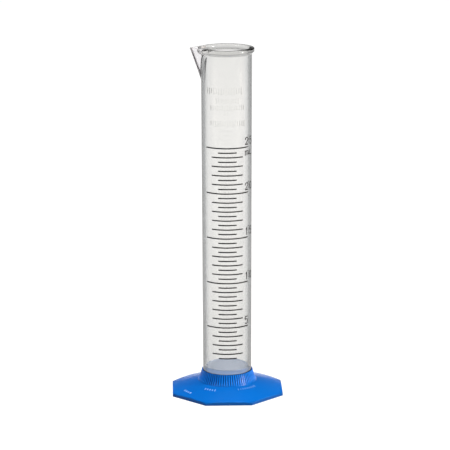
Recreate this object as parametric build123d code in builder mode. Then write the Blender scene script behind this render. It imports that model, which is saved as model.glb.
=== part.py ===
from build123d import *

import os
from math import asin, cos, pi, radians, sin, tan

# A 25 mL measuring cylinder: a clear moulded tube with a pouring spout, printed with a black scale, that
# stands in a separate blue octagonal foot. Millimetres, +Z up, origin at the middle of the foot's underside.
# The scale faces -Y and the spout points to -X.

# Tube. Its outside is drafted, so it is widest at the rim, and the bore widens very slightly upwards too.
overall_height = 147.3
wall_radius_at_table = 10.3
wall_radius_at_rim = 10.6
bore_radius_at_floor = 9.1
bore_radius_at_rim = 9.13
bore_floor = 10.8
floor_thickness = 1.5
mouth_rounding = 0.75

# Rim bead, which follows the outline of the mouth and stops on the flanks of the spout
bead_overhang = 1.0
bead_height = 2.2
bead_top_rounding = 0.6
bead_under_rounding = 0.95
bead_reach = 12.2

# Pouring spout: a V with flat sides, level with the rim, that closes to a point on the wall below
spout_reach = 15.4
spout_depth = 13.2
spout_wall = 0.85
spout_rounding = 0.5
spout_foot_scale = 0.06

# Foot: an octagonal plate with a conical top and a flared, fluted collar
across_flats = 46.6
side_count = 8
plate_slope = tan(radians(16.7))
plate_thickness = 1.6
plate_edge_rounding = 0.3
foot_ring_width = 1.8
stiffener_thickness = 1.2
collar_foot_radius = 12.5
collar_foot_height = 4.8
collar_top_radius = 10.8
collar_top_height = 9.35
collar_hollow = 0.22
flute_count = 72
flute_radius = 0.33
flute_fade = 0.2
flute_end_gap = 0.35

# Socket of the foot, a running fit on the tube's skirt
socket_floor = 2.0
socket_floor_thickness = 1.2
socket_wall = 1.5
socket_clearance = 0.05
socket_lead_in = 0.2

# Printed lines of the scale
full_volume = 25
first_half_mark = 1.5
ink_thickness = 0.06
line_width = 0.51
long_line_half_angle = 54.5
medium_line_half_angle = 37.5
short_line_half_angle = 21.5

# Numerals and unit, in single pen strokes above and below the right-hand ends of the long lines
stroke_width = 0.4
numeral_angle = 59.5
numeral_height = 2.9
numeral_width = 1.7
numeral_spacing = 3.3
numeral_lift = 1.1
unit_drop = 3.4
unit_height = 2.1
unit_width = 2.0
unit_spacing = 3.1

bore_draft = (bore_radius_at_rim - bore_radius_at_floor) / (overall_height - bore_floor)
front = -90


def wall_radius(height):
    """Outside radius of the tube's drafted wall."""
    return wall_radius_at_table + (wall_radius_at_rim - wall_radius_at_table) * height / overall_height


def bore_radius(height):
    """Radius of the bore, which widens from its floor to the rim."""
    return bore_radius_at_floor + bore_draft * (height - bore_floor)


def mark_height(millilitres):
    """Height of a volume's line: the level at which the conical bore holds that volume."""
    radius_cubed = bore_radius_at_floor**3 + 3 * bore_draft * millilitres * 1000 / pi
    return bore_floor + (radius_cubed ** (1 / 3) - bore_radius_at_floor) / bore_draft


def plate_top(radius):
    """Height of the foot's conical top at a radius."""
    return collar_foot_height - plate_slope * (radius - collar_foot_radius)


# ---------------------------------------------------------------- tube
def spout_wedge(reach, tangent_radius, low_reach):
    """Solid V of the spout, whose sides leave a circle of the given radius as tangents at the rim."""
    half_angle = asin(tangent_radius / reach)
    length = reach - tangent_radius * sin(half_angle)
    half_width = length * tan(half_angle)
    with BuildPart() as wedge:
        for height, tip, scale in (
            (overall_height, reach, 1),
            (overall_height - spout_depth, low_reach, spout_foot_scale),
        ):
            base = scale * length - tip
            with BuildSketch(Plane.XY.offset(height)) as outline:
                Polygon((-tip, 0), (base, -scale * half_width), (base, scale * half_width), align=None)
                fillet(outline.vertices().sort_by(Axis.X)[0], scale * spout_rounding)
        loft(ruled=True)
    return wedge.part


spout_outside = spout_wedge(spout_reach, wall_radius_at_rim, wall_radius_at_rim)
spout_channel = spout_wedge(
    spout_reach - spout_wall,
    bore_radius_at_rim,
    wall_radius_at_rim - spout_wall,
)

with BuildPart() as bead:
    bead_radius = wall_radius_at_rim + bead_overhang
    # The bead's own outline has the wall's shape, scaled up: a circle and two tangents that meet in a tip
    bead_tip = spout_reach * bead_radius / wall_radius_at_rim
    tangent_x = -(bead_radius**2) / bead_tip
    tangent_y = (bead_radius**2 - tangent_x**2) ** 0.5
    with BuildSketch(Plane.XY.offset(overall_height - bead_height)):
        Circle(bead_radius)
        Polygon((-bead_tip, 0), (tangent_x, -tangent_y), (tangent_x, tangent_y), align=None)
        Circle(bead_reach, mode=Mode.INTERSECT)
    extrude(amount=bead_height)
    fillet(bead.faces().sort_by(Axis.Z)[0].edges(), bead_under_rounding)
    fillet(bead.faces().sort_by(Axis.Z)[-1].edges(), bead_top_rounding)

with BuildPart() as tube:
    # Wall and skirt, solid up to the middle of the bead
    bead_middle = overall_height - bead_height / 2
    with BuildSketch(Plane.XZ):
        with BuildLine():
            Polyline(
                (0, bore_floor - floor_thickness),
                (bore_radius_at_floor, bore_floor - floor_thickness),
                (bore_radius_at_floor, socket_floor),
                (wall_radius(socket_floor), socket_floor),
                (wall_radius(bead_middle), bead_middle),
                (0, bead_middle),
                close=True,
            )
        make_face()
    revolve(axis=Axis.Z)
    add(bead.part)
    add(spout_outside)
    # Bore, with its mouth rounded outwards
    with BuildSketch(Plane.XZ):
        with BuildLine():
            mouth = overall_height - mouth_rounding
            Polyline((0, overall_height), (0, bore_floor), (bore_radius_at_floor, bore_floor))
            Line((bore_radius_at_floor, bore_floor), (bore_radius(mouth), mouth))
            RadiusArc(
                (bore_radius(mouth), mouth),
                (bore_radius(mouth) + mouth_rounding, overall_height),
                mouth_rounding,
            )
            Line((bore_radius(mouth) + mouth_rounding, overall_height), (0, overall_height))
        make_face()
    revolve(axis=Axis.Z, mode=Mode.SUBTRACT)
    add(spout_channel, mode=Mode.SUBTRACT)

# ---------------------------------------------------------------- foot
corner_radius = across_flats / 2 / cos(pi / side_count)
socket_radius = wall_radius(collar_top_height) + socket_clearance
socket_outside = socket_radius + socket_wall
ring_inside = across_flats / 2 - foot_ring_width
collar_middle = (
    (collar_foot_radius + collar_top_radius) / 2 - collar_hollow,
    (collar_foot_height + collar_top_height) / 2,
)

with BuildPart() as flute:
    # Cutter of one flute, which runs out of the collar's surface towards the top
    with BuildLine(Plane.XZ) as flute_path:
        ThreePointArc(
            (collar_foot_radius, collar_foot_height + flute_end_gap),
            (collar_middle[0] + flute_fade / 4, collar_middle[1]),
            (collar_top_radius + flute_fade, collar_top_height + flute_end_gap),
        )
    with BuildSketch(Plane(origin=flute_path.line @ 0, z_dir=flute_path.line % 0)):
        Circle(flute_radius)
    sweep()

with BuildPart() as underside:
    # Hollow below the plate, crossed by a stiffener to each corner, and a shallow recess below the socket
    with BuildSketch(Plane.XZ):
        with BuildLine():
            Polyline(
                (socket_outside, 0),
                (ring_inside, 0),
                (ring_inside, plate_top(ring_inside) - plate_thickness),
                (socket_outside, plate_top(socket_outside) - plate_thickness),
                close=True,
            )
        make_face()
    revolve(axis=Axis.Z)
    with PolarLocations(0, side_count, start_angle=180 / side_count):
        Box(
            corner_radius,
            stiffener_thickness,
            collar_foot_height,
            align=(Align.MIN, Align.CENTER, Align.MIN),
            mode=Mode.SUBTRACT,
        )
    with BuildSketch():
        Circle(socket_radius - socket_clearance - (wall_radius_at_table - bore_radius_at_floor))
    extrude(amount=socket_floor - socket_floor_thickness)

with BuildPart() as foot:
    rim_of_cone = corner_radius + 1
    with BuildSketch(Plane.XZ):
        with BuildLine():
            Polyline(
                (0, collar_top_height),
                (0, 0),
                (rim_of_cone, 0),
                (rim_of_cone, plate_top(rim_of_cone)),
                (collar_foot_radius, collar_foot_height),
            )
            ThreePointArc(
                (collar_foot_radius, collar_foot_height),
                collar_middle,
                (collar_top_radius, collar_top_height),
            )
            Line((collar_top_radius, collar_top_height), (0, collar_top_height))
        make_face()
    revolve(axis=Axis.Z)
    with BuildSketch():
        RegularPolygon(across_flats / 2, side_count, major_radius=False, rotation=180 / side_count)
    extrude(amount=collar_top_height, mode=Mode.INTERSECT)
    fillet(foot.edges().filter_by(GeomType.HYPERBOLA), plate_edge_rounding)
    with PolarLocations(0, flute_count):
        add(flute.part, mode=Mode.SUBTRACT)
    # Socket, with a lead-in at its mouth
    with BuildSketch(Plane.XZ):
        with BuildLine():
            Polyline(
                (0, socket_floor),
                (socket_radius, socket_floor),
                (socket_radius, collar_top_height - socket_lead_in),
                (socket_radius + socket_lead_in, collar_top_height),
                (0, collar_top_height),
                close=True,
            )
        make_face()
    revolve(axis=Axis.Z, mode=Mode.SUBTRACT)
    add(underside.part, mode=Mode.SUBTRACT)


# ---------------------------------------------------------------- printed lines
def draw_ink_band(low, high):
    """Section of a layer of ink on the wall between two heights, in a plane through the axis."""
    Polygon(
        (wall_radius(low), low),
        (wall_radius(low) + ink_thickness, low),
        (wall_radius(high) + ink_thickness, high),
        (wall_radius(high), high),
        align=None,
    )


def scale_lines(name, volumes, half_angle):
    """Lines of one kind: an arc of ink across the front of the wall for each volume."""
    start = radians(front - half_angle)
    with BuildPart() as lines:
        for volume in volumes:
            height = mark_height(volume)
            with BuildSketch(
                Plane((0, 0, 0), x_dir=(cos(start), sin(start), 0), z_dir=(sin(start), -cos(start), 0))
            ):
                draw_ink_band(height - line_width / 2, height + line_width / 2)
            revolve(axis=Axis.Z, revolution_arc=2 * half_angle)
    lines.part.label = name
    return lines.part


five_marks = [volume for volume in range(5, full_volume + 1, 5)]
one_marks = [volume for volume in range(2, full_volume) if volume % 5]
half_marks = [first_half_mark + step for step in range(full_volume - 1)]
scale_parts = [
    scale_lines("lines_5_ml", five_marks, long_line_half_angle),
    scale_lines("lines_1_ml", one_marks, medium_line_half_angle),
    scale_lines("lines_half_ml", half_marks, short_line_half_angle),
]


# ---------------------------------------------------------------- numerals and unit
def pen_line(start, end):
    """Straight pen stroke with round ends."""
    SlotArc(Edge.make_line(start, end), stroke_width)


def pen_arc(start, middle, end):
    """Curved pen stroke with round ends, through three points."""
    SlotArc(Edge.make_three_point_arc(start, middle, end), stroke_width)


def draw_character(character, width, height):
    """One character, standing on its baseline and centred on its middle."""
    left = -width / 2
    right = width / 2
    if character == "0":
        shoulder = width / 2
        pen_line((left, shoulder), (left, height - shoulder))
        pen_line((right, shoulder), (right, height - shoulder))
        pen_arc((left, height - shoulder), (0, height), (right, height - shoulder))
        pen_arc((left, shoulder), (0, 0), (right, shoulder))
    elif character == "1":
        pen_line((0, 0), (0, height))
        pen_line((left / 2, height * 0.8), (0, height))
    elif character == "2":
        shoulder = height - width / 2
        pen_arc((left, shoulder), (0, height), (right, shoulder))
        pen_line((right, shoulder), (left, 0))
        pen_line((left, 0), (right, 0))
    elif character == "5":
        pen_line((left, height), (right, height))
        pen_line((left, height), (left, height * 0.56))
        pen_arc((left, height * 0.56), (right, height * 0.3), (left, height * 0.06))
    elif character == "m":
        arch = width / 4
        x_height = height * 0.85
        pen_line((left, 0), (left, x_height))
        for foot_x, crown_x in ((0, left + arch), (right, right - arch)):
            pen_line((foot_x, 0), (foot_x, x_height - arch))
            pen_arc((foot_x, x_height - arch), (crown_x, x_height), (crown_x * 2 - foot_x, x_height - arch))
    elif character == "L":
        pen_line((left, height), (left, 0))
        pen_line((left, 0), (right, 0))


def printed_text(name, text, baseline, width, height, spacing):
    """One or two characters of ink wrapped on the wall; all texts start at the same angle from the front."""
    direction = radians(front + numeral_angle)
    depth = 1.0
    inside = wall_radius(baseline) - depth
    with BuildPart() as print_on_wall:
        with BuildSketch(
            Plane(
                origin=(inside * cos(direction), inside * sin(direction), baseline),
                x_dir=(-sin(direction), cos(direction), 0),
                z_dir=(cos(direction), sin(direction), 0),
            )
        ):
            for place, character in enumerate(text):
                with Locations(((place - 0.5) * spacing, 0)):
                    draw_character(character, width, height)
        extrude(amount=2 * depth)
        with BuildSketch(Plane.XZ):
            draw_ink_band(baseline - stroke_width, baseline + height + stroke_width)
        revolve(axis=Axis.Z, mode=Mode.INTERSECT)
    print_on_wall.part.label = name
    return print_on_wall.part


for volume in five_marks:
    scale_parts.append(
        printed_text(
            f"numeral_{volume}",
            str(volume),
            mark_height(volume) + numeral_lift,
            numeral_width,
            numeral_height,
            numeral_spacing,
        )
    )
scale_parts.append(
    printed_text("unit_ml", "mL", mark_height(full_volume) - unit_drop, unit_width, unit_height, unit_spacing)
)

# ---------------------------------------------------------------- files
os.makedirs("parts", exist_ok=True)
tube.part.label = "tube"
foot.part.label = "foot"
for piece in (tube.part, foot.part, *scale_parts):
    export_step(piece, f"parts/{piece.label}.step")
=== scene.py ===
import math
import random

import bmesh
import bpy
import numpy as np
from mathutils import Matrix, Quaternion, Vector


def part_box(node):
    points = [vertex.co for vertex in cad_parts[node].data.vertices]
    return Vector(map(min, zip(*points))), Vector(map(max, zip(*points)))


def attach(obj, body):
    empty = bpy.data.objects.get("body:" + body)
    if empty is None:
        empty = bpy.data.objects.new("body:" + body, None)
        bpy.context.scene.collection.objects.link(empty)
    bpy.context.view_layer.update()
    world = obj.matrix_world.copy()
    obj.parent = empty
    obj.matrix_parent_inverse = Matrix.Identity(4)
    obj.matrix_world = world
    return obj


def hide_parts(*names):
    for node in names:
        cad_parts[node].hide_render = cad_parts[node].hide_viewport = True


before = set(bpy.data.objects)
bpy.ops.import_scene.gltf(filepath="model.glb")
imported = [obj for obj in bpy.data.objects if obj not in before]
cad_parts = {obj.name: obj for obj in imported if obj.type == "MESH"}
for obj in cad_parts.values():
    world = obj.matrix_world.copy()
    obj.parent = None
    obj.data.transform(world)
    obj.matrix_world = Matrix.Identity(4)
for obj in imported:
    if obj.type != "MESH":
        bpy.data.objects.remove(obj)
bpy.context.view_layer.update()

# A 25 mL measuring cylinder: clear tube, blue foot, black printed scale.
# Metres, +Z up, the scale faces -Y and the spout points to -X.
MM = 0.001
tube_low, tube_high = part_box("tube")
rim = tube_high.z
skirt_end = tube_low.z

# The tube, as the CAD has it
WALL_AT_TABLE, WALL_AT_RIM = 10.3 * MM, 10.6 * MM
BORE_AT_FLOOR, BORE_AT_RIM = 9.1 * MM, 9.13 * MM
BORE_FLOOR, FLOOR_THICKNESS = 10.8 * MM, 1.5 * MM
BEAD_RADIUS, BEAD_HEIGHT, BEAD_REACH = WALL_AT_RIM + 1.0 * MM, 2.2 * MM, 12.2 * MM
BEAD_TOP_ROUNDING, BEAD_UNDER_ROUNDING, MOUTH_ROUNDING = 0.6 * MM, 0.95 * MM, 0.75 * MM
SPOUT_REACH, SPOUT_DEPTH, SPOUT_WALL, SPOUT_ROUNDING = 15.4 * MM, 13.2 * MM, 0.85 * MM, 0.5 * MM

# Finer shape that only the visible tube has
LIP_ROUNDING = 0.24 * MM  # edges of the spout's thin lip
LIP_SHARE = 0.44  # most of the lip's thickness that one rounded edge takes, so that two never meet
EDGE_ROUNDING, CORNER_ROUNDING = 0.2 * MM, 0.45 * MM  # skirt's edges, corner of the bore's floor
SPOUT_BLEND, BEAD_BLEND, BEAD_END_BLEND, UNDER_BEAD_BLEND = 0.08 * MM, 0.05 * MM, 0.12 * MM, 0.1 * MM
KEEL_TAPER, LEAST_KEEL = 0.8, 0.1  # how the keel's rounding shrinks down the spout, and its least share
WALL_BLEND_END, BORE_BLEND_END = 1.3, 1.4  # spout depths below the rim where the tube is round again
INK_GRIP = 0.01 * MM  # how far the wall reaches into the ink, so that the two never share a surface

# Where the tube's mesh has its rows and columns
TURN_STEPS = ((4, 0.2), (52, 0.4), (180, 1.0))  # up to each angle from the spout, the step, in degrees
FLOOR_RINGS = (1.5 * MM, 4 * MM, 6.5 * MM, 8 * MM)
WALL_RINGS = tuple(height * MM for height in (12, 30, 50, 70, 90, 110, 125))
BORE_RINGS = tuple(height * MM for height in (125, 110, 90, 70, 50, 30, 14))
SPOUT_WALL_START, SPOUT_WALL_ROWS = 130 * MM, 22
SPOUT_BORE_START, SPOUT_BORE_ROWS = 129 * MM, 26
UNDER_BEAD_ROWS = (0.4 * MM, 0.25 * MM, 0.15 * MM, 0.08 * MM, 0.03 * MM)
UNDER_BEAD_GAP, UNDER_MOUTH_GAP, SUPPORT = 0.6 * MM, 0.1 * MM, 0.06 * MM

# Where the spout's and the rim's finishes start: angles from the spout's middle, and how far out of the
# round wall the bead and the spout stand
KEEL_TURN, BEAD_END_TURN = math.radians(2.4), math.radians(31)
BEAD_STARTS, BEAD_FULL, SPOUT_STARTS = 0.05 * MM, 0.45 * MM, 0.03 * MM

# The foot's collar and top, as the CAD has them
FLUTE_COUNT = 72
COLLAR_FOOT_RADIUS, COLLAR_FOOT_HEIGHT, PLATE_SLOPE = 12.5 * MM, 4.8 * MM, math.tan(math.radians(16.7))

# The foot's painted light and shade: painted shade in the collar's flutes, painted light on its ribs and
# over the whole collar, and painted shade on the edge near the table
STRIPE_SWING, STRIPE_MIDDLE = -0.8, 0.2
STRIPE_HEIGHTS = (COLLAR_FOOT_HEIGHT + 0.1 * MM, COLLAR_FOOT_HEIGHT + 0.7 * MM)
# Painted shade: the foot's low side walls are darker, because they get less light from above than its top
TABLE_EDGE_HEIGHTS, TABLE_EDGE_SHADES = (0.9 * MM, 1.6 * MM), (0.68, 1.0)
BLUE_DARK, BLUE_LIGHT = (0.001, 0.055, 0.235), (0.0015, 0.082, 0.32)
# Painted highlight: the raised marks on the foot are a lighter blue, standing in for the glints on their
# edges
GLINT_BLUE_DARK, GLINT_BLUE_LIGHT = (0.03, 0.16, 0.42), (0.2, 0.34, 0.6)
INK_DARK, INK_LIGHT = (0.003, 0.003, 0.003), (0.009, 0.009, 0.009)

# Plain bars in place of moulded lettering. A row of bars has its first and last angle from the front, in
# degrees, the number of bars, and its low and high edge, in mm: heights on the wall, radii on the foot.
WALL_ROWS = (
    (-50, 34, 15, 129.0, 131.9),
    (-26, 26, 10, 125.2, 127.5),
    (-40, 40, 15, 122.3, 124.5),
    (-6, 1, 2, 120.5, 121.9),
    (-40, 42, 15, 115.6, 118.2),
)
PLATE_ROWS = (
    (-38, -21, 5, 14.5, 16.1),
    (17, 50, 9, 14.0, 15.2),
    (-63, -51, 4, 19.6, 20.9),
)
WALL_BAR_WIDTH, PLATE_BAR_WIDTH = 2.6, 1.0  # degrees
WALL_MARK_LIFT, PLATE_MARK_LIFT, MARK_GRIP = 0.11 * MM, 0.2 * MM, 0.05 * MM
BAR_END_SLOPE, BAR_SIDE_SLOPE = 0.16, 0.06  # shares of a bar's width and length
MOST_TRIM, TRIM_ABOVE = 0.3, 0.3  # most that a bar is cut short below, and the share of that above

# Finishes of the clear tube's faces. A tint has stops from 0, seen face-on, to 1, seen edge-on.
FINISHES = ("wall", "bore", "bead", "rim", "spout", "keel", "bead_end", "floor", "marks")
PLASTIC_IOR, PLASTIC_ROUGHNESS = 1.49, 0.05
TRANSMISSION = {"floor": 0.0, "bead_end": 0.6, "keel": 0.8}
IORS = {"spout": 1.3, "keel": 1.15, "bead_end": 1.12}
ROUGHNESS = {"wall": 0.02, "bore": 0.02, "marks": 0.03, "bead_end": 0.6, "floor": 0.45}
# Painted light: the bore's floor is opaque, painted a pale blue-grey and made to glow a little, standing in
# for the light and the blue foot seen through it
FLOOR_GLOW, FLOOR_GLOW_STRENGTH = (0.5, 0.7, 1.0, 1), 0.18
PLAIN_TINTS = {
    "bore": (0.97, 0.97, 0.965, 1),
    "marks": (0.96, 0.96, 0.95, 1),
    # painted: the lit blue foot seen through the bore's floor
    "floor": (0.56, 0.62, 0.74, 1),
}
TINTS = {
    "wall": (
        (0.0, (0.785, 0.78, 0.76)),
        (0.12, (0.76, 0.757, 0.74)),
        (0.22, (0.68, 0.68, 0.67)),
        (0.32, (0.66, 0.66, 0.66)),
        (0.42, (0.44, 0.45, 0.455)),
        (0.51, (0.165, 0.172, 0.175)),
        (0.61, (0.102, 0.108, 0.11)),
        (0.72, (0.01, 0.01, 0.01)),
    ),
    "bead": (
        (0.0, (0.42, 0.42, 0.405)),
        (0.6, (0.45, 0.45, 0.445)),
        (1.0, (0.6, 0.605, 0.61)),
    ),
    "rim": (
        (0.0, (0.93, 0.93, 0.925)),
        (0.7, (0.85, 0.85, 0.85)),
        (1.0, (0.6, 0.6, 0.6)),
    ),
    "bead_end": (
        (0.0, (0.36, 0.36, 0.36)),
        (1.0, (0.3, 0.3, 0.3)),
    ),
    "spout": (
        (0.0, (0.95, 0.945, 0.95)),
        (0.5, (0.88, 0.87, 0.88)),
        (0.8, (0.68, 0.66, 0.68)),
        (1.0, (0.5, 0.49, 0.5)),
    ),
    "keel": (
        (0.0, (0.62, 0.6, 0.62)),
        (0.5, (0.58, 0.56, 0.58)),
        (1.0, (0.5, 0.48, 0.5)),
    ),
}
WALL_SHADE_HEIGHTS, WALL_SHADES = (25 * MM, 120 * MM), (0.8, 1.0)  # the wall is darker near the foot


# ---------------------------------------------------------------- small helpers
def linked(obj):
    bpy.context.scene.collection.objects.link(obj)
    return obj


def smooth_max(a, b, softness):
    return 0.5 * (a + b + np.sqrt((a - b) ** 2 + softness**2))


def smooth_min(a, b, softness):
    return 0.5 * (a + b - np.sqrt((a - b) ** 2 + softness**2))


def smooth_step(low, high, value):
    t = np.clip((value - low) / (high - low), 0, 1)
    return t * t * (3 - 2 * t)


def wall_circle(z):
    """Radius of the drafted wall where it is round."""
    return WALL_AT_TABLE + (WALL_AT_RIM - WALL_AT_TABLE) * z / rim


# ---------------------------------------------------------------- tube mesh
def turns():
    """Angles from the spout's direction, -180 to 180 degrees, closer together near the spout."""
    half = [0.0]
    for end, step in TURN_STEPS:
        while half[-1] < end:
            half.append(half[-1] + step)
    half[-1] = 180.0
    right = np.array(half)
    return np.radians(np.concatenate([-right[:0:-1], right[:-1]]))


def v_radius(turn, reach, tangent_radius, reach_at_rim, rounding):
    """Polar radius of a V with a rounded tip, whose sides, at the rim, are tangents of a circle."""
    half_angle = math.asin(tangent_radius / reach_at_rim)
    square = math.pi / 2 - half_angle
    a = np.abs(turn)
    distance = reach * math.sin(half_angle)
    flat = distance / np.cos(np.minimum(a, square) - square)
    side = np.where(a < square, flat, distance * np.cos(a - square))
    centre = reach - rounding / math.sin(half_angle)
    start = math.atan2(rounding * math.sin(square), centre + rounding * math.cos(square))
    tip = centre * np.cos(a) + np.sqrt(np.maximum(rounding**2 - (centre * np.sin(a)) ** 2, 0))
    return np.where(a < start, tip, side)


def with_spout(turn, z, circle, tangent_radius, reach_at_rim, reach_at_end, blend_end):
    """A round outline that is pushed out to the spout's V near the rim."""
    down = (rim - z) / SPOUT_DEPTH
    if down >= blend_end:
        return circle * np.ones_like(turn)
    reach = reach_at_rim + (reach_at_end - reach_at_rim) * down
    rounding = SPOUT_ROUNDING * max(1 - KEEL_TAPER * down, LEAST_KEEL)
    v = v_radius(turn, reach, tangent_radius, reach_at_rim, rounding)
    return smooth_max(circle, v, SPOUT_BLEND)


def wall(turn, z):
    """Outside radius of the tube below its bead, with the spout's flat sides."""
    circle = wall_circle(z) + INK_GRIP
    return with_spout(turn, z, circle, WALL_AT_RIM, SPOUT_REACH, WALL_AT_RIM, WALL_BLEND_END)


def bore(turn, z):
    """Radius of the bore, with the spout's channel."""
    circle = BORE_AT_FLOOR + (BORE_AT_RIM - BORE_AT_FLOOR) * (z - BORE_FLOOR) / (rim - BORE_FLOOR)
    reach_at_rim, reach_at_end = SPOUT_REACH - SPOUT_WALL, WALL_AT_RIM - SPOUT_WALL
    return with_spout(turn, z, circle, BORE_AT_RIM, reach_at_rim, reach_at_end, BORE_BLEND_END)


def bead_line(turn):
    """Outline of the rim bead, which ends on the spout's flanks."""
    v = v_radius(turn, SPOUT_REACH * BEAD_RADIUS / WALL_AT_RIM, WALL_AT_RIM, SPOUT_REACH, SPOUT_ROUNDING)
    return smooth_min(smooth_max(BEAD_RADIUS, v, BEAD_BLEND), BEAD_REACH, BEAD_END_BLEND)


def arc(steps, start, end):
    """Evenly spaced angles between two angles in degrees, in radians."""
    return [math.radians(start + (end - start) * k / steps) for k in range(steps + 1)]


def tube_rows(turn):
    """Rows of points from under the bore's floor, round the skirt, up the wall and back down the bore.

    Each row has its radii, its heights and the finish of the faces that start at it."""
    rows = []
    ones = np.ones_like(turn)

    def row(radius, z, finish):
        rows.append((radius * ones, z * ones, finish))

    def rounded_edge(radius, z, rounding, start, end, steps, finish):
        """Rows round a centre, from one angle to another: 0 degrees points outwards and 90 points up."""
        for t in arc(steps, start, end):
            row(radius + rounding * math.cos(t), z + rounding * math.sin(t), finish)

    under = BORE_FLOOR - FLOOR_THICKNESS
    bottom = skirt_end + INK_GRIP
    # Underside of the floor, inside of the skirt, end of the skirt
    for radius in FLOOR_RINGS:
        row(radius, under, "floor")
    row(BORE_AT_FLOOR - EDGE_ROUNDING - SUPPORT, under, "floor")
    rounded_edge(BORE_AT_FLOOR - EDGE_ROUNDING, under - EDGE_ROUNDING, EDGE_ROUNDING, 90, 0, 5, "bore")
    row(BORE_AT_FLOOR, under - EDGE_ROUNDING - SUPPORT, "bore")
    skirt_edge = bottom + EDGE_ROUNDING
    row(BORE_AT_FLOOR, skirt_edge + SUPPORT, "bore")
    rounded_edge(BORE_AT_FLOOR + EDGE_ROUNDING, skirt_edge, EDGE_ROUNDING, 180, 270, 5, "bore")
    rounded_edge(wall(turn, bottom) - EDGE_ROUNDING, skirt_edge, EDGE_ROUNDING, -90, 0, 5, "wall")
    row(wall(turn, skirt_edge + SUPPORT), skirt_edge + SUPPORT, "wall")
    # Outside of the wall, up to the bead
    for z in WALL_RINGS:
        row(wall(turn, z), z, "wall")
    bead_foot = rim - BEAD_HEIGHT
    for z in np.linspace(SPOUT_WALL_START, bead_foot - UNDER_BEAD_GAP, SPOUT_WALL_ROWS):
        row(wall(turn, z), z, "wall")
    # Soft corner under the bead, and the bead's rounded underside
    line = bead_line(turn)
    for below in UNDER_BEAD_ROWS:
        z = bead_foot - below
        row(smooth_max(wall(turn, z), line - BEAD_UNDER_ROUNDING - 2 * below, UNDER_BEAD_BLEND), z, "bead")
    crown = bead_foot + BEAD_UNDER_ROUNDING
    for t in arc(16, -90, 0):
        z = crown + BEAD_UNDER_ROUNDING * math.sin(t)
        radius = smooth_max(wall(turn, z), line - BEAD_UNDER_ROUNDING * (1 - math.cos(t)), UNDER_BEAD_BLEND)
        row(radius, z, "bead")
    # Rounded top edge, flat of the rim, rounded mouth
    outline = smooth_max(wall(turn, rim), line, UNDER_BEAD_BLEND)
    mouth = bore(turn, rim)
    bead_share = bead_shares(turn)
    room = LIP_SHARE * (outline - mouth)
    outer = np.minimum(LIP_ROUNDING + (BEAD_TOP_ROUNDING - LIP_ROUNDING) * bead_share, room)
    rounded_edge(outline - outer, rim - outer, outer, 0, 90, 12, "bead")
    inner = np.minimum(LIP_ROUNDING + (MOUTH_ROUNDING - LIP_ROUNDING) * bead_share, room)
    rounded_edge(mouth + inner, rim - inner, inner, 90, 180, 10, "rim")
    # Bore and its floor
    for z in np.linspace(rim - MOUTH_ROUNDING - UNDER_MOUTH_GAP, SPOUT_BORE_START, SPOUT_BORE_ROWS):
        row(bore(turn, z), z, "bore")
    for z in BORE_RINGS:
        row(bore(turn, z), z, "bore")
    bore_end = BORE_FLOOR + CORNER_ROUNDING
    row(bore(turn, bore_end + SUPPORT), bore_end + SUPPORT, "bore")
    rounded_edge(BORE_AT_FLOOR - CORNER_ROUNDING, bore_end, CORNER_ROUNDING, 0, -90, 6, "floor")
    row(BORE_AT_FLOOR - CORNER_ROUNDING - SUPPORT, BORE_FLOOR, "floor")
    for radius in reversed(FLOOR_RINGS):
        row(radius, BORE_FLOOR, "floor")
    return rows


def bead_shares(turn):
    """How much of the bead there is at each angle: 1 round the rim, 0 on the spout."""
    return smooth_step(BEAD_STARTS, BEAD_FULL, bead_line(turn) - wall(turn, rim))


def band_finishes(turn, radius, z, finish):
    """Finish number of each face in the band that starts at a row, with the spout's own finishes."""
    band = np.full(len(turn), FINISHES.index(finish))
    if z <= rim - SPOUT_DEPTH:
        return band
    opposite = np.array([math.pi])  # the side away from the spout, where the tube is round
    if finish in ("bead", "rim"):
        on_spout = bead_shares(turn) < 0.5
        band[~on_spout & (np.abs(turn) < BEAD_END_TURN)] = FINISHES.index("bead_end")
    elif finish == "wall":
        on_spout = radius > wall(opposite, z) + SPOUT_STARTS
    else:
        on_spout = radius > bore(opposite, z) + SPOUT_STARTS
    band[on_spout] = FINISHES.index("spout")
    band[on_spout & (np.abs(turn) < KEEL_TURN)] = FINISHES.index("keel")
    return band


def build_tube():
    """One closed skin: a fan of triangles at each end and a band of faces between every two rows."""
    turn = turns()
    rows = tube_rows(turn)
    rings = []
    for radius, z, _ in rows:
        rings.append(np.stack([-radius * np.cos(turn), -radius * np.sin(turn), z], axis=1))
    under = BORE_FLOOR - FLOOR_THICKNESS
    verts = np.concatenate([[[0, 0, under]], *rings, [[0, 0, BORE_FLOOR]]])
    count = len(turn)
    following = [(i + 1) % count for i in range(count)]
    faces = [(0, 1 + following[i], 1 + i) for i in range(count)]
    finishes = [FINISHES.index("floor")] * count
    for j, (radius, z, finish) in enumerate(rows[:-1]):
        a, b = 1 + j * count, 1 + (j + 1) * count
        faces += [(a + i, a + following[i], b + following[i], b + i) for i in range(count)]
        finishes += band_finishes(turn, radius, z[0], finish).tolist()
    last, top = 1 + (len(rows) - 1) * count, len(verts) - 1
    faces += [(last + i, last + following[i], top) for i in range(count)]
    finishes += [FINISHES.index("floor")] * count
    mesh = bpy.data.meshes.new("clear_tube")
    mesh.from_pydata(verts.tolist(), [], faces)
    mesh.polygons.foreach_set("use_smooth", [True] * len(mesh.polygons))
    mesh.polygons.foreach_set("material_index", finishes)
    for finish in FINISHES:
        mesh.materials.append(clear_plastic(finish))
    mesh.update()
    return linked(bpy.data.objects.new("clear_tube", mesh))


# ---------------------------------------------------------------- bars in place of lettering
def on_wall(turned, z, out):
    """Point on the tube's wall: degrees to the right of the front, height, distance out of the surface."""
    radius = wall_circle(z) + out
    a = math.radians(turned)
    return radius * math.sin(a), -radius * math.cos(a), z


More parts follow.
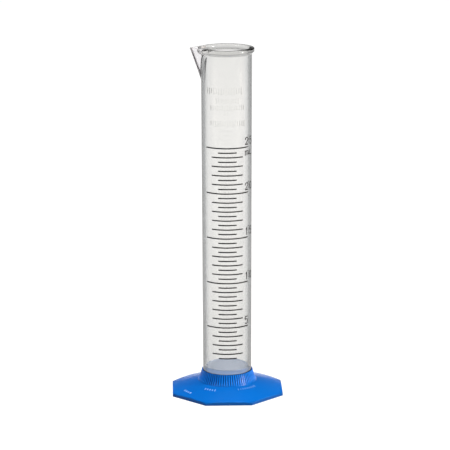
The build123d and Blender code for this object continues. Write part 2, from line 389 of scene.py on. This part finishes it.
def on_plate(turned, radius, out):
    """Point on the foot's conical top: degrees to the right of the front, radius, distance out of it."""
    z = COLLAR_FOOT_HEIGHT - PLATE_SLOPE * (radius - COLLAR_FOOT_RADIUS)
    a = math.radians(turned)
    tilt = math.atan(PLATE_SLOPE)
    r = radius + out * math.sin(tilt)
    return r * math.sin(a), -r * math.cos(a), z + out * math.cos(tilt)


def bars_in_rows(rows, width, uneven):
    """Left and right angle, low and high edge of each bar. Some bars are a little shorter than others."""
    bars = []
    for first, last, count, low_mm, high_mm in rows:
        low, high = low_mm * MM, high_mm * MM
        for k in range(count):
            middle = first + (last - first) * k / (count - 1)
            trim = (high - low) * uneven.uniform(0.0, MOST_TRIM)
            bars.append((middle - width / 2, middle + width / 2, low + trim, high - TRIM_ABOVE * trim))
    return bars


def build_marks(name, bars, place, top):
    """Low bars with sloping sides, sunk a little into the surface they stand on."""
    verts, faces = [], []
    for left, right, low, high in bars:
        end_slope = (right - left) * BAR_END_SLOPE
        side_slope = (high - low) * BAR_SIDE_SLOPE
        sections = ((left, 0.0), (left + end_slope, top), (right - end_slope, top), (right, 0.0))
        rings = []
        for turned, lift in sections:
            outline = (
                (low, -MARK_GRIP),
                (low, 0.0),
                (low + side_slope, lift),
                (high - side_slope, lift),
                (high, 0.0),
                (high, -MARK_GRIP),
            )
            rings.append(range(len(verts), len(verts) + len(outline)))
            verts += [place(turned, across, out) for across, out in outline]
        for ring, following in zip(rings, rings[1:]):
            for i in range(len(ring)):
                j = (i + 1) % len(ring)
                faces.append((ring[i], ring[j], following[j], following[i]))
        faces.append(tuple(reversed(rings[0])))
        faces.append(tuple(rings[-1]))
    mesh = bpy.data.meshes.new(name)
    mesh.from_pydata(verts, [], faces)
    mesh.validate()
    sides = bmesh.new()
    sides.from_mesh(mesh)
    bmesh.ops.recalc_face_normals(sides, faces=sides.faces)
    sides.to_mesh(mesh)
    sides.free()
    return linked(bpy.data.objects.new(name, mesh))


# ---------------------------------------------------------------- shader nodes
def new_material(name):
    material = bpy.data.materials.new(name)
    material.use_nodes = True
    return material, material.node_tree, material.node_tree.nodes["Principled BSDF"]


def place_of(tree, kind):
    """X, Y and Z outputs of the shaded place: in the object, or as a direction in the world."""
    source = tree.nodes.new("ShaderNodeTexCoord")
    split = tree.nodes.new("ShaderNodeSeparateXYZ")
    tree.links.new(source.outputs[kind], split.inputs[0])
    return split.outputs


def map_range(tree, value, source, result, interpolation="SMOOTHSTEP"):
    """A value taken from one range of numbers to another, and held at the ends."""
    node = tree.nodes.new("ShaderNodeMapRange")
    node.interpolation_type = interpolation
    node.inputs["From Min"].default_value, node.inputs["From Max"].default_value = source
    node.inputs["To Min"].default_value, node.inputs["To Max"].default_value = result
    tree.links.new(value, node.inputs["Value"])
    return node.outputs["Result"]


def math_node(tree, operation, *values):
    """A Math node, whose values are numbers or the outputs of other nodes."""
    node = tree.nodes.new("ShaderNodeMath")
    node.operation = operation
    for socket, value in zip(node.inputs, values):
        if isinstance(value, (int, float)):
            socket.default_value = value
        else:
            tree.links.new(value, socket)
    return node.outputs[0]


def scaled(tree, colour, factor):
    """A colour made darker or lighter by a factor."""
    node = tree.nodes.new("ShaderNodeVectorMath")
    node.operation = "SCALE"
    tree.links.new(colour, node.inputs[0])
    tree.links.new(factor, node.inputs["Scale"])
    return node.outputs[0]


def noise(tree, scale, detail):
    node = tree.nodes.new("ShaderNodeTexNoise")
    node.inputs["Scale"].default_value = scale
    node.inputs["Detail"].default_value = detail
    return node.outputs["Fac"]


def colour_ramp(tree, value, stops):
    """Colour against a value, from (position, (red, green, blue)) stops in order."""
    ramp = tree.nodes.new("ShaderNodeValToRGB")
    tree.links.new(value, ramp.inputs["Fac"])
    elements = ramp.color_ramp.elements
    for position, colour in stops[1:-1]:
        elements.new(position)
    for element, (position, colour) in zip(elements, stops):
        element.position = position
        element.color = (*colour, 1)
    return ramp.outputs["Color"]


# ---------------------------------------------------------------- materials
def clear_plastic(finish):
    """Clear moulded plastic. Seen edge-on, the bead's tint gets paler and the other tints get darker."""
    material, tree, shader = new_material("clear_plastic_" + finish)
    shader.inputs["IOR"].default_value = IORS.get(finish, PLASTIC_IOR)
    shader.inputs["Transmission Weight"].default_value = TRANSMISSION.get(finish, 1.0)
    shader.inputs["Roughness"].default_value = ROUGHNESS.get(finish, PLASTIC_ROUGHNESS)
    if finish in PLAIN_TINTS:
        shader.inputs["Base Color"].default_value = PLAIN_TINTS[finish]
    else:
        facing = tree.nodes.new("ShaderNodeLayerWeight")
        facing.inputs["Blend"].default_value = 0.5
        tint = colour_ramp(tree, facing.outputs["Facing"], TINTS[finish])
        if finish == "wall":
            height = place_of(tree, "Object")["Z"]
            tint = scaled(tree, tint, map_range(tree, height, WALL_SHADE_HEIGHTS, WALL_SHADES, "LINEAR"))
        tree.links.new(tint, shader.inputs["Base Color"])
    # The bore's floor glows: painted light
    if finish == "floor":
        shader.inputs["Emission Color"].default_value = FLOOR_GLOW
        shader.inputs["Emission Strength"].default_value = FLOOR_GLOW_STRENGTH
    return material


def blue_plastic(name, dark, light):
    """Blue moulded plastic with a fine grain, with painted shade in the collar's flutes, painted light on
    its ribs and the rest of the collar, and painted shade near the table.
    """
    material, tree, shader = new_material("blue_plastic_" + name)
    shader.inputs["Roughness"].default_value = 0.24
    shader.inputs["Specular IOR Level"].default_value = 0.1
    grain = noise(tree, scale=900, detail=3)
    colour = colour_ramp(tree, grain, ((0.0, dark), (1.0, light)))
    place = place_of(tree, "Object")
    # The cosine is 1 in the middle of a flute and -1 on the rib between two
    turned = math_node(tree, "ARCTAN2", place["Y"], place["X"])
    in_flute = math_node(tree, "COSINE", math_node(tree, "MULTIPLY", turned, FLUTE_COUNT))
    # Painted shade in the middle of each flute, painted light on each rib, and the whole collar painted
    # lighter
    stripes = math_node(tree, "MULTIPLY_ADD", in_flute, STRIPE_SWING, STRIPE_MIDDLE)
    on_collar = map_range(tree, place["Z"], STRIPE_HEIGHTS, (0.0, 1.0))
    painted_collar_light_and_shade = math_node(tree, "ADD", math_node(tree, "MULTIPLY", stripes, on_collar), 1.0)
    # Painted shade on the side walls near the table
    painted_table_edge_shade = map_range(tree, place["Z"], TABLE_EDGE_HEIGHTS, TABLE_EDGE_SHADES)
    shade = math_node(tree, "MULTIPLY", painted_collar_light_and_shade, painted_table_edge_shade)
    tree.links.new(scaled(tree, colour, shade), shader.inputs["Base Color"])
    bump = tree.nodes.new("ShaderNodeBump")
    bump.inputs["Strength"].default_value = 0.5
    bump.inputs["Distance"].default_value = 0.03 * MM
    tree.links.new(grain, bump.inputs["Height"])
    tree.links.new(bump.outputs["Normal"], shader.inputs["Normal"])
    return material


def black_ink():
    """Matt black printing ink, not quite even."""
    material, tree, shader = new_material("black_ink_printed")
    shader.inputs["Roughness"].default_value = 0.55
    shader.inputs["Specular IOR Level"].default_value = 0.15
    blotches = noise(tree, scale=2500, detail=2)
    colour = colour_ramp(tree, blotches, ((0.0, INK_DARK), (1.0, INK_LIGHT)))
    tree.links.new(colour, shader.inputs["Base Color"])
    return material


# ---------------------------------------------------------------- studio
def build_floor():
    """A round white floor, which glows so that it stays white under soft light."""
    count, radius = 96, 3.0
    edge = [2 * math.pi * k / count for k in range(count)]
    verts = [(0, 0, 0)] + [(radius * math.cos(a), radius * math.sin(a), 0) for a in edge]
    faces = [(0, 1 + k, 1 + (k + 1) % count) for k in range(count)]
    mesh = bpy.data.meshes.new("studio_floor")
    mesh.from_pydata(verts, [], faces)
    floor = linked(bpy.data.objects.new("studio_floor", mesh))
    material, tree, shader = new_material("studio_floor_white")
    shader.inputs["Base Color"].default_value = (0.1, 0.1, 0.1, 1)
    shader.inputs["Roughness"].default_value = 0.9
    shader.inputs["Specular IOR Level"].default_value = 0.0
    shader.inputs["Emission Color"].default_value = (1, 1, 1, 1)
    shader.inputs["Emission Strength"].default_value = 0.98
    mesh.materials.append(material)


def build_world():
    """A white room to look at, and a dimmer one that lights the object from the horizon and overhead."""
    world = bpy.data.worlds.new("studio")
    bpy.context.scene.world = world
    world.use_nodes = True
    tree = world.node_tree
    tree.nodes.clear()
    out = tree.nodes.new("ShaderNodeOutputWorld")
    mix = tree.nodes.new("ShaderNodeMixShader")
    seen = tree.nodes.new("ShaderNodeBackground")
    seen.inputs["Color"].default_value = (1, 1, 1, 1)
    seen.inputs["Strength"].default_value = 1.05
    lighting = tree.nodes.new("ShaderNodeBackground")
    # The camera sees the white room, and rays that come out of the clear plastic mostly see it too
    path = tree.nodes.new("ShaderNodeLightPath")
    from_plastic, from_camera = path.outputs["Is Transmission Ray"], path.outputs["Is Camera Ray"]
    share_through_plastic = 0.7
    looking = math_node(tree, "MULTIPLY_ADD", from_plastic, share_through_plastic, from_camera)
    tree.links.new(looking, mix.inputs["Fac"])
    tree.links.new(lighting.outputs[0], mix.inputs[1])
    tree.links.new(seen.outputs[0], mix.inputs[2])
    tree.links.new(mix.outputs[0], out.inputs["Surface"])
    direction = place_of(tree, "Generated")
    behind = map_range(tree, direction["Y"], (-0.4, 0.5), (0.12, 0.18))
    horizon = map_range(tree, direction["Z"], (0.15, 0.65), (1.0, 0.12))
    zenith = map_range(tree, direction["Z"], (0.8, 0.95), (0.0, 0.25))
    brightness = math_node(tree, "ADD", math_node(tree, "MULTIPLY", behind, horizon), zenith)
    tree.links.new(brightness, lighting.inputs["Strength"])


def area_light(name, place, target, size, power, colour=(1, 1, 1)):
    """A panel of light that points at a target and isn't seen, directly or through the clear plastic."""
    data = bpy.data.lights.new(name, "AREA")
    data.shape = "RECTANGLE"
    data.size, data.size_y = size
    data.energy = power
    data.color = colour
    light = linked(bpy.data.objects.new(name, data))
    light.location = place
    light.rotation_euler = (Vector(target) - Vector(place)).to_track_quat("-Z", "Y").to_euler()
    light.visible_camera = False
    light.visible_transmission = False
    return light


def build_lights():
    """Soft light from above, a weak key from the left and a warm strip on the foot's right side."""
    above_foot, top_of_foot, warm = (0, 0, 0.05), (0, 0, 0.02), (1.0, 0.88, 0.8)
    overhead = area_light("overhead", (-0.1, 0.0, 0.85), above_foot, size=(0.5, 0.5), power=17.5)
    overhead.visible_glossy = False
    area_light("key", (-0.75, -0.45, 0.6), above_foot, size=(0.3, 0.3), power=2)
    area_light("strip", (0.8, -0.3, 0.3), top_of_foot, size=(0.1, 0.36), power=19, colour=warm)


def build_camera():
    """Camera at the photograph's angle: 13 degrees above the horizon, with a long lens."""
    azimuth, elevation, roll = math.radians(-1.458), math.radians(13.06), math.radians(-0.141)
    distance, aim_height, aim_left = 0.9697, 72.006 * MM, 0.777 * MM
    level = math.cos(elevation)
    back = Vector((math.sin(azimuth) * level, -math.cos(azimuth) * level, math.sin(elevation)))
    right = Vector((math.cos(azimuth), math.sin(azimuth), 0))
    target = Vector((0, 0, aim_height)) - right * aim_left
    data = bpy.data.cameras.new("camera")
    data.sensor_width = 36
    data.lens = 184.7
    data.clip_start, data.clip_end = 0.05, 20
    camera = linked(bpy.data.objects.new("camera", data))
    camera.location = target + back * distance
    turned = (-back).to_track_quat("-Z", "Y") @ Quaternion((0, 0, 1), roll)
    camera.rotation_euler = turned.to_euler()
    bpy.context.scene.camera = camera


build_camera()
build_floor()
build_world()
build_lights()
bpy.context.scene.view_settings.view_transform = "Standard"

tube = build_tube()
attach(tube, "tube")
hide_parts("tube")

uneven = random.Random(7)
wall_bars = bars_in_rows(WALL_ROWS, WALL_BAR_WIDTH, uneven)
wall_marks = build_marks("moulded_marks", wall_bars, on_wall, WALL_MARK_LIFT)
wall_marks.data.materials.append(clear_plastic("marks"))
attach(wall_marks, "tube")

plate_bars = bars_in_rows(PLATE_ROWS, PLATE_BAR_WIDTH, uneven)
plate_marks = build_marks("raised_marks", plate_bars, on_plate, PLATE_MARK_LIFT)
# The raised marks get the lighter blue, a painted highlight
plate_marks.data.materials.append(blue_plastic("painted_highlight", GLINT_BLUE_DARK, GLINT_BLUE_LIGHT))
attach(plate_marks, "foot")

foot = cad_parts["foot"]
foot.material_slots[0].material = blue_plastic("moulded", BLUE_DARK, BLUE_LIGHT)
ink = black_ink()
for node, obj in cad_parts.items():
    if node.startswith(("lines_", "numeral_", "unit_")):
        obj.material_slots[0].material = ink
